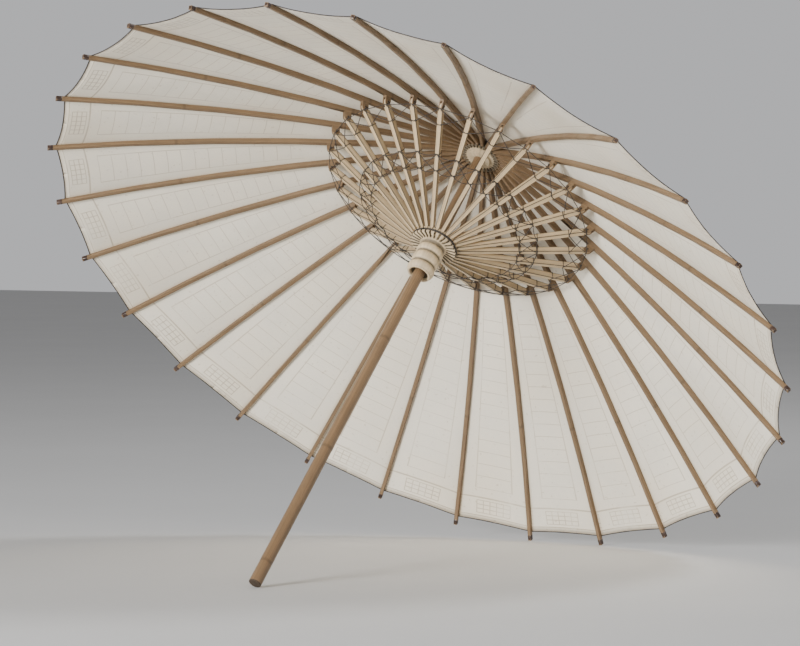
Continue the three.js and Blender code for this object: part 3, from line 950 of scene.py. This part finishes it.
class UMBRELLA_OT_ribs(bpy.types.Operator):
    """The ribs, each with a dark tip and a turn of thread through its lug"""
    bl_idname = "umbrella.ribs"
    bl_label = "Ribs"

    def execute(self, context):
        color = settings().rib_color
        material = bamboo_material("Rib bamboo", color, 0.172, 0.03, 0.46)
        # Painted shade: the rounded long edges take this darker copy of the rib's colour.
        edge = bamboo_material("Rib edge", darker(color, 0.3), 0.172, 0.03, 0.5)
        for label in LABELS:
            body = "rib_" + label
            mesh = bevelled_copy(body, settings().bevel, LONG_EDGE)
            grain_map(mesh, rib_frame(label).inverted())
            made = finished(mesh, "rib_bar_" + label, material, second=edge)
            deliver(made, body, "rib_bamboo", body)
            self.tip(label, body)
            self.pin(label, body)
        return {"FINISHED"}

    def tip(self, label, body):
        """The lacquered end, a rounded block a little wider and deeper than the rib."""
        length, past_end, above = 6.5 * MM, 0.1 * MM, 0.2 * MM
        wider, deeper = 0.9 * MM, 0.4 * MM
        mesh = bmesh.new()
        place = Matrix.Translation((RIB_LENGTH - length / 2 + past_end, 0, above))
        size = Matrix.Diagonal((length, RIB_TIP_WIDTH + wider, RIB_TIP_DEPTH + deeper, 1))
        bmesh.ops.create_cube(mesh, size=1.0, matrix=rib_frame(label) @ place @ size)
        bmesh.ops.bevel(mesh, geom=mesh.edges[:], offset=1.2 * MM, offset_type="OFFSET", segments=3,
                        profile=0.5, affect="EDGES", material=-1, clamp_overlap=True)
        deliver(finished(mesh, "rib_tip_" + label, lacquer_material(), 60.0), body, "dark_lacquer")

    def pin(self, label, body):
        """The thread through the lug, on which the stretcher's end turns."""
        angle = azimuth(label)
        side = sideways(angle)
        centre = polar(angle, radius_of(LUG_PIVOT), LUG_PIVOT.z)
        half_length, thickness = 2.75 * MM, 2.0 * MM
        path = [centre - side * half_length, centre, centre + side * half_length]
        made = tubes("lug_thread_" + label, [path], thickness, thread_material(), 8)
        deliver(made, body, "thread")


class UMBRELLA_OT_stretchers(bpy.types.Operator):
    """The stretchers between the runner and the ribs"""
    bl_idname = "umbrella.stretchers"
    bl_label = "Stretchers"

    def execute(self, context):
        # Painted shade: the rounded long edges take this darker copy of the stretcher's colour.
        edge_shade_color = darker(settings().stretcher_color, 0.12)
        edge = bamboo_material("Stretcher edge", edge_shade_color, 0.19, 0.02, 0.5)
        for label in LABELS:
            body = "stretcher_" + label
            mesh = bevelled_copy(body, settings().bevel, LONG_EDGE)
            grain_map(mesh, stretcher_frame(label).inverted())
            made = finished(mesh, "stretcher_bar_" + label, stretcher_bamboo(), second=edge)
            deliver(made, body, "stretcher_bamboo", body)
        return {"FINISHED"}


class UMBRELLA_OT_canopy(bpy.types.Operator):
    """The oiled paper, one pleat over each rib, and the thread along its rim"""
    bl_idname = "umbrella.canopy"
    bl_label = "Paper canopy"

    def execute(self, context):
        start = 9 * MM
        end = RIB_LENGTH - settings().paper_edge
        for label in LABELS:
            body = "rib_" + label
            pleat = self.pleat(label, start, end)
            deliver(pleat, body, "oiled_paper", "canopy")
            fold_flat(pleat)
            rim = tubes("rim_thread_" + label, [self.rim(label, start, end)], 1.1 * MM, thread_material())
            deliver(rim, body, "thread")
            fold_flat(rim)
        return {"FINISHED"}

    def place(self, angle, across, along, start, end):
        """A point of the paper; across runs from -0.5 to 0.5, between the middles of two panels."""
        values = settings()
        share = abs(across)
        hollow = 4 * share * (1 - share)
        x = start + (end - values.rim_scallop * hollow - start) * along
        here = on_rib(angle, x, values.paper_gap)
        there = on_rib(angle + math.copysign(PITCH, across), x, values.paper_gap)
        point = here.lerp(there, share)
        middle = math.atan2(point.y, point.x)
        inward = -polar(middle, math.cos(OPEN_ANGLE), math.sin(OPEN_ANGLE))
        reach = (x / end) ** 1.6
        crumple = noise.noise(point * 26.0) + 0.5 * noise.noise(point * 61.0)
        return point + inward * (values.paper_sag * hollow * reach + values.wrinkle * hollow * crumple)

    def pleat(self, label, start, end):
        """The paper over one rib, out to the middle of the panel on either side."""
        columns, rows = 14, 56
        mesh = bmesh.new()
        bmesh.ops.create_grid(mesh, x_segments=columns, y_segments=rows, size=0.5)
        panel = mesh.loops.layers.uv.new("Panel")
        share = mesh.loops.layers.uv.new("Share")
        angle = azimuth(label)
        scallop = settings().rim_scallop
        for face in mesh.faces:
            for loop in face.loops:
                across, along = loop.vert.co.x, loop.vert.co.y + 0.5
                hollow = 4 * abs(across) * (1 - abs(across))
                x = start + (end - scallop * hollow - start) * along
                width = PITCH * (PIVOT_RADIUS + x * math.sin(OPEN_ANGLE))
                from_middle = (across - math.copysign(0.5, across)) * width
                loop[panel].uv = (from_middle, (1 - along) * (end - start))
                loop[share].uv = (across, along)
        sides = {vert.index for vert in mesh.verts if abs(vert.co.x) > 0.4999}
        for vert in mesh.verts:
            vert.co = UPRIGHT @ self.place(angle, vert.co.x, vert.co.y + 0.5, start, end)
        made = finished(mesh, "paper_pleat_" + label, paper_material(), 180.0)
        middle_face = made.data.polygons[len(made.data.polygons) // 2]
        outward = rib_frame(label).to_3x3() @ Vector((0, 0, 1))
        if middle_face.normal.dot(outward) < 0:
            made.data.flip_normals()
        for edge in made.data.edges:
            edge.use_edge_sharp = all(index in sides for index in edge.vertices)
        shell = made.modifiers.new("thickness", "SOLIDIFY")
        shell.thickness = settings().paper_thickness
        shell.offset = 1.0
        return made

    def rim(self, label, start, end):
        """The line of the paper's edge, from the middle of one panel to the middle of the next."""
        angle, steps = azimuth(label), 16
        path = []
        for i in range(steps + 1):
            across = i / steps - 0.5
            path.append(self.place(angle, across, 1.0, start, end))
        return path


class UMBRELLA_OT_lacing(bpy.types.Operator):
    """Two rings of crossed thread between the stretchers"""
    bl_idname = "umbrella.lacing"
    bl_label = "Lacing"

    def execute(self, context):
        for label in LABELS:
            outer = self.ring(label, LINK_LENGTH - 1.5 * MM, straight=True)
            self.lace("outer_lacing_" + label, label, outer, folded_share(LINK_LENGTH))
            inner = self.ring(label, 92 * MM, straight=False)
            self.lace("inner_lacing_" + label, label, inner, folded_share(85 * MM))
        return {"FINISHED"}

    def lace(self, name, label, paths, keep):
        made = tubes(name, paths, settings().thread_thickness, thread_material())
        deliver(made, "stretcher_" + label, "thread")
        fold_flat(made)

    def on_stretcher(self, angle, x, above):
        """A point over or under a stretcher's middle line, in the upright frame."""
        lean = OPEN_ANGLE
        radius = PIVOT_RADIUS + x * math.sin(lean) - above * math.cos(lean)
        return polar(angle, radius, RUNNER_HEIGHT + x * math.cos(lean) + above * math.sin(lean))

    def strand(self, angle, way, near, far, droop):
        """The nearer half of a thread from this stretcher to the next one on that side."""
        under, steps = -3.55 * MM, 6
        start = self.on_stretcher(angle, near, under)
        stop = self.on_stretcher(angle + way * PITCH, far, under)
        path = []
        for i in range(steps + 1):
            share = i / steps
            path.append(start.lerp(stop, share / 2) - Vector((0, 0, droop)) * share * (2 - share))
        return path

    def ring(self, label, top, straight):
        """The crossed strands, the strands along the ring, and the turns round the stretcher."""
        angle = azimuth(label)
        bottom = top - settings().lacing_drop
        levels = (top,) if straight else (top, bottom)
        droop = 0.6 * MM if straight else 3.0 * MM
        paths = []
        for way in (-1, 1):
            paths.append(self.strand(angle, way, top, bottom, 1.2 * MM))
            paths.append(self.strand(angle, way, bottom, top, 1.2 * MM))
            paths += [self.strand(angle, way, level, level, droop) for level in levels]
        return paths + [self.turn(angle, level) for level in (top, bottom)]

    def turn(self, angle, x):
        """One turn of thread round the stretcher, a box with well rounded corners."""
        half_width, half_depth, squareness, steps = 2.75 * MM, 3.65 * MM, 0.4, 12
        corners = []
        for i in range(steps + 1):
            around = i / steps * 2 * math.pi
            width = math.copysign(half_width * abs(math.cos(around)) ** squareness, math.cos(around))
            height = math.copysign(half_depth * abs(math.sin(around)) ** squareness, math.sin(around))
            corners.append(self.on_stretcher(angle, x, height) + sideways(angle) * width)
        return corners


class UMBRELLA_OT_crown(bpy.types.Operator):
    """The paper crown over the notch and the turned cap on the shaft's end"""
    bl_idname = "umbrella.crown"
    bl_label = "Crown and cap"

    def execute(self, context):
        notch_top = max((TO_UPRIGHT @ p).z for p in node_points("upper_notch")) - NOTCH_HEIGHT
        self.crown(notch_top)
        self.cap(notch_top)
        return {"FINISHED"}

    def crown(self, notch_top):
        """A low cone of paper over the notch, ridged where it lies on the ribs."""
        outline = [(8 * MM, notch_top + 1.6 * MM), (13 * MM, notch_top + 1.3 * MM),
                   (18.2 * MM, notch_top - 3.2 * MM), (23.4 * MM, 6.2 * MM), (27.5 * MM, 2.6 * MM),
                   (32 * MM, -0.6 * MM), (37 * MM, -3.1 * MM)]
        mesh = bmesh.new()
        verts = [mesh.verts.new((radius, 0, height)) for radius, height in outline]
        edges = [mesh.edges.new(pair) for pair in zip(verts, verts[1:])]
        bmesh.ops.spin(mesh, geom=verts + edges, cent=(0, 0, 0), axis=(0, 0, 1), angle=2 * math.pi,
                       steps=4 * len(LABELS), use_merge=True)
        bmesh.ops.subdivide_edges(mesh, edges=mesh.edges, cuts=1, use_grid_fill=True)
        ridge_height, ridge_start, ridge_run = 0.9 * MM, 14 * MM, 19 * MM
        for vert in mesh.verts:
            angle = math.atan2(vert.co.y, vert.co.x) - azimuth(LABELS[0])
            reach = max(0.0, (radius_of(vert.co) - ridge_start) / ridge_run)
            ridge = 0.5 + 0.5 * math.cos(angle / PITCH * 2 * math.pi)
            vert.co.z += (ridge - 0.6) * ridge_height * reach
        bmesh.ops.recalc_face_normals(mesh, faces=mesh.faces)
        panel = mesh.loops.layers.uv.new("Panel")
        share = mesh.loops.layers.uv.new("Share")
        # One place past the print, the hem and the glued strips, so that the crown stays plain
        for face in mesh.faces:
            for loop in face.loops:
                loop[panel].uv = (0.09, 0.6)
                loop[share].uv = (0.3, 0.0)
        place = UPRIGHT @ Matrix.Translation((0, 0, NOTCH_HEIGHT))
        bmesh.ops.transform(mesh, matrix=place, verts=mesh.verts)
        made = finished(mesh, "crown_paper", paper_material(), 180.0)
        if made.data.polygons[0].normal.dot(UP_THE_SHAFT) < 0:
            made.data.flip_normals()
        shell = made.modifiers.new("thickness", "SOLIDIFY")
        shell.thickness = 0.4 * MM
        shell.offset = 1.0
        deliver(made, "root", "oiled_paper", "canopy")
        rings = zip(outline, outline[1:])
        area = sum(math.pi * (near[0] + far[0]) * math.dist(near, far) for near, far in rings)

    def cap(self, notch_top):
        """The turned cap: a rounded base, a short neck, a dome, and a small ball over the shaft's end."""
        base = notch_top + 1.9 * MM
        rim_radius, rim = 9.2 * MM, 1.6 * MM
        ball_height, ball = SHAFT_LENGTH - NOTCH_HEIGHT + 8.2 * MM, 3.2 * MM
        profile = [(0, base), (rim_radius, base)]
        profile += arc(rim_radius, base + rim, rim, -90, 90, 9)[1:]
        profile += [(8.4 * MM, base + 3.5 * MM), (8.2 * MM, base + 4.6 * MM)]
        profile += arc(2.2 * MM, base + 5.2 * MM, 6.9 * MM, 0, 78, 12)
        profile += arc(0, ball_height, ball, -40, 90, 10)
        made = turned_piece("top_cap", profile, NOTCH_HEIGHT, 64, lacquer_material())
        deliver(made, "root", "dark_lacquer")


class UMBRELLA_OT_catch(bpy.types.Operator):
    """The small leaf under the runner that holds it up"""
    bl_idname = "umbrella.catch"
    bl_label = "Catch"

    def execute(self, context):
        collar_bottom = min((TO_UPRIGHT @ p).z for p in node_points("runner"))
        top = collar_bottom - 0.6 * MM
        length, width, thickness, proud = 15 * MM, 2.6 * MM, 0.9 * MM, 2.1 * MM
        sunk_radius = 5.5 * MM
        mesh = bmesh.new()
        bmesh.ops.create_grid(mesh, x_segments=1, y_segments=8, size=0.5)
        for vert in mesh.verts:
            along = vert.co.y + 0.5
            lift = proud * along ** 1.5
            vert.co = Vector((vert.co.x * width, sunk_radius + lift, top - length * (1 - along)))
        bmesh.ops.solidify(mesh, geom=mesh.faces[:], thickness=thickness)
        outwards(mesh)
        bmesh.ops.transform(mesh, matrix=UPRIGHT, verts=mesh.verts)
        grain_map(mesh, TO_TURNED)
        leaf = finished(mesh, "catch_leaf", stretcher_bamboo())
        deliver(leaf, "root", "stretcher_bamboo")
        return {"FINISHED"}


class UMBRELLA_PT_panel(bpy.types.Panel):
    """Lists the umbrella's pieces in the sidebar"""
    bl_idname = "UMBRELLA_PT_panel"
    bl_label = "Oil Paper Umbrella"
    bl_space_type = "VIEW_3D"
    bl_region_type = "UI"
    bl_category = "Umbrella"

    def draw(self, context):
        for name in UmbrellaSettings.__annotations__:
            self.layout.prop(context.scene.umbrella, name)
        for operator in OPERATORS:
            self.layout.operator(operator.bl_idname)


OPERATORS = (
    UMBRELLA_OT_stage,
    UMBRELLA_OT_shaft,
    UMBRELLA_OT_notch,
    UMBRELLA_OT_runner,
    UMBRELLA_OT_ribs,
    UMBRELLA_OT_stretchers,
    UMBRELLA_OT_canopy,
    UMBRELLA_OT_lacing,
    UMBRELLA_OT_crown,
    UMBRELLA_OT_catch,
)


def register():
    for kind in (UmbrellaSettings, *OPERATORS, UMBRELLA_PT_panel):
        bpy.utils.register_class(kind)
    bpy.types.Scene.umbrella = bpy.props.PointerProperty(type=UmbrellaSettings)


def unregister():
    del bpy.types.Scene.umbrella
    for kind in (UMBRELLA_PT_panel, *reversed(OPERATORS), UmbrellaSettings):
        bpy.utils.unregister_class(kind)


def main():
    register()
    for operator in OPERATORS:
        family, name = operator.bl_idname.split(".")
        getattr(getattr(bpy.ops, family), name)()


if __name__ == "__main__":
    main()
